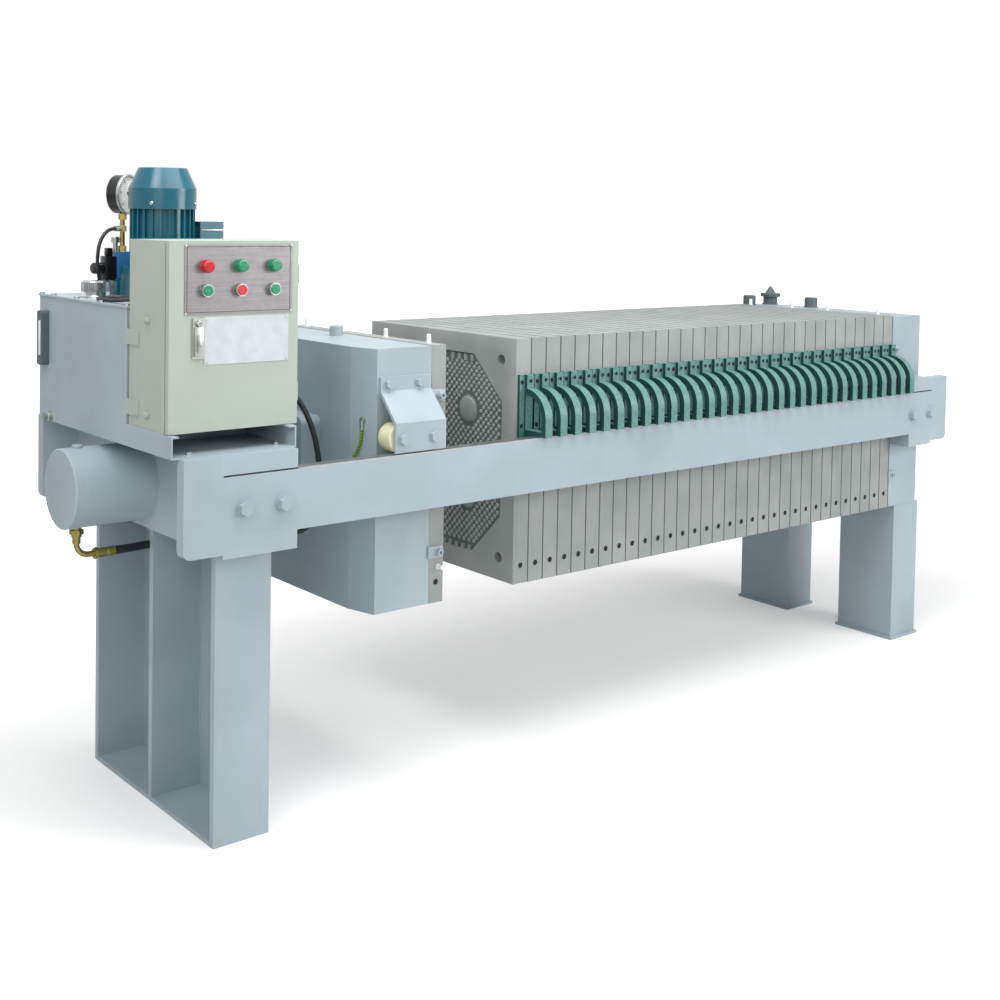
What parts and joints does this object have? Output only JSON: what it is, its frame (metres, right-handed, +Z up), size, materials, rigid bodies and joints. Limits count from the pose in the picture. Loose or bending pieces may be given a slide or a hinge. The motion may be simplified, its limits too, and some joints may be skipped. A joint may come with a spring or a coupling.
{
  "type": "hydraulic plate filter press",
  "caption": "Recessed-plate filter press: hydraulic cylinder end, moving head on rollers, plate pack between two side beams and a fixed feed head.",
  "frame": {"origin": "on the floor, under the middle of the cylinder-end stand's base plate", "axes": "+X along the press from the cylinder to the feed head, +Y across it to the rear, +Z up"},
  "size_m": [3.7276, 1.024, 1.897],
  "materials": {
    "blank_white": "white",
    "button_green": "moulded",
    "button_red": "moulded",
    "cabinet_paint": "light grey-green textured powder paint",
    "frame_paint": "grey-blue semi-gloss machine paint",
    "handle_green": "dark green painted casting",
    "lamp_plastic": "coloured lens",
    "motor_paint": "teal gloss paint",
    "panel_aluminium": "satin",
    "plate_plastic": "grey filled polypropylene",
    "rod_chrome": "bright plated",
    "roller_nylon": "cream nylon",
    "strip_steel": "worn bright steel strip"
  },
  "bodies": {
    "moving_head": {"head_body": "frame_paint", "piston_rod": "rod_chrome", "rod_seat": "frame_paint", "roller_brackets": "frame_paint", "tail_plate": "plate_plastic"},
    "roller_front_near": {"roller_front_near": "roller_nylon"},
    "roller_front_far": {"roller_front_far": "roller_nylon"},
    "roller_rear_near": {"roller_rear_near": "roller_nylon"},
    "roller_rear_far": {"roller_rear_far": "roller_nylon"},
    "door": {"blank_plate": "blank_white", "button_bezels": "panel_aluminium", "control_panel": "panel_aluminium", "door": "cabinet_paint", "door_latch": "panel_aluminium", "pilot_lamps": "lamp_plastic"},
    "button_left": {"button_left": "button_green"},
    "button_middle": {"button_middle": "button_red"},
    "button_right": {"button_right": "button_green"},
    "frame": {"beam_bolts": "frame_paint", "beam_front": "frame_paint", "beam_rear": "frame_paint", "breather_cap": "rod_chrome", "cabinet_body": "cabinet_paint", "cylinder_barrel": "frame_paint", "cylinder_cap": "frame_paint", "cylinder_gland": "frame_paint", "feed_head": "frame_paint", "first_plate": "plate_plastic", "handles_front_first": "handle_green", "handles_front_rest": "handle_green", "handles_rear_first": "handle_green", "handles_rear_rest": "handle_green", "leg_feet": "frame_paint", "leg_front": "frame_paint", "leg_rear": "frame_paint", "level_gauge": "rod_chrome", "motor_body": "motor_paint", "motor_cowl": "motor_paint", "oil_tank": "frame_paint", "plate_pack": "plate_plastic", "pump_block": "motor_paint", "rail_strips": "strip_steel", "seat_block": "frame_paint", "stand_base": "frame_paint", "stand_flanges": "frame_paint", "stand_web": "frame_paint", "tank_lid": "frame_paint", "terminal_box": "motor_paint", "tray": "frame_paint"}
  },
  "joints": [
    {"name": "head_slide", "type": "slide", "parent": "frame", "child": "moving_head", "axis": [1, 0, 0], "range_m": [0, 0.285]},
    {"name": "roller_front_near_spin", "type": "hinge", "parent": "moving_head", "child": "roller_front_near", "pos_m": [0.48, -0.443, 1.1063], "axis": [0, 1, 0], "range_deg": [-10, 400]},
    {"name": "roller_front_far_spin", "type": "hinge", "parent": "moving_head", "child": "roller_front_far", "pos_m": [0.596, -0.443, 1.1063], "axis": [0, 1, 0], "range_deg": [-10, 400]},
    {"name": "roller_rear_near_spin", "type": "hinge", "parent": "moving_head", "child": "roller_rear_near", "pos_m": [0.48, 0.443, 1.1063], "axis": [0, 1, 0], "range_deg": [-10, 400]},
    {"name": "roller_rear_far_spin", "type": "hinge", "parent": "moving_head", "child": "roller_rear_far", "pos_m": [0.596, 0.443, 1.1063], "axis": [0, 1, 0], "range_deg": [-10, 400]},
    {"name": "door_hinge", "type": "hinge", "parent": "frame", "child": "door", "pos_m": [0.145, -0.421, 1.433], "axis": [0, 0, 1], "range_deg": [0, 110]},
    {"name": "button_left_press", "type": "slide", "parent": "door", "child": "button_left", "axis": [0, 1, 0], "range_m": [0, 0.003], "stiffness_N_per_m": 400, "springref_m": -0.0005},
    {"name": "button_middle_press", "type": "slide", "parent": "door", "child": "button_middle", "axis": [0, 1, 0], "range_m": [0, 0.003], "stiffness_N_per_m": 400, "springref_m": -0.0005},
    {"name": "button_right_press", "type": "slide", "parent": "door", "child": "button_right", "axis": [0, 1, 0], "range_m": [0, 0.003], "stiffness_N_per_m": 400, "springref_m": -0.0005}
  ],
  "couplings": [
    {"joint": "roller_front_near_spin", "follows": "head_slide", "rad_per_m": 23.256},
    {"joint": "roller_front_far_spin", "follows": "head_slide", "rad_per_m": 23.256},
    {"joint": "roller_rear_near_spin", "follows": "head_slide", "rad_per_m": 23.256},
    {"joint": "roller_rear_far_spin", "follows": "head_slide", "rad_per_m": 23.256}
  ]
}
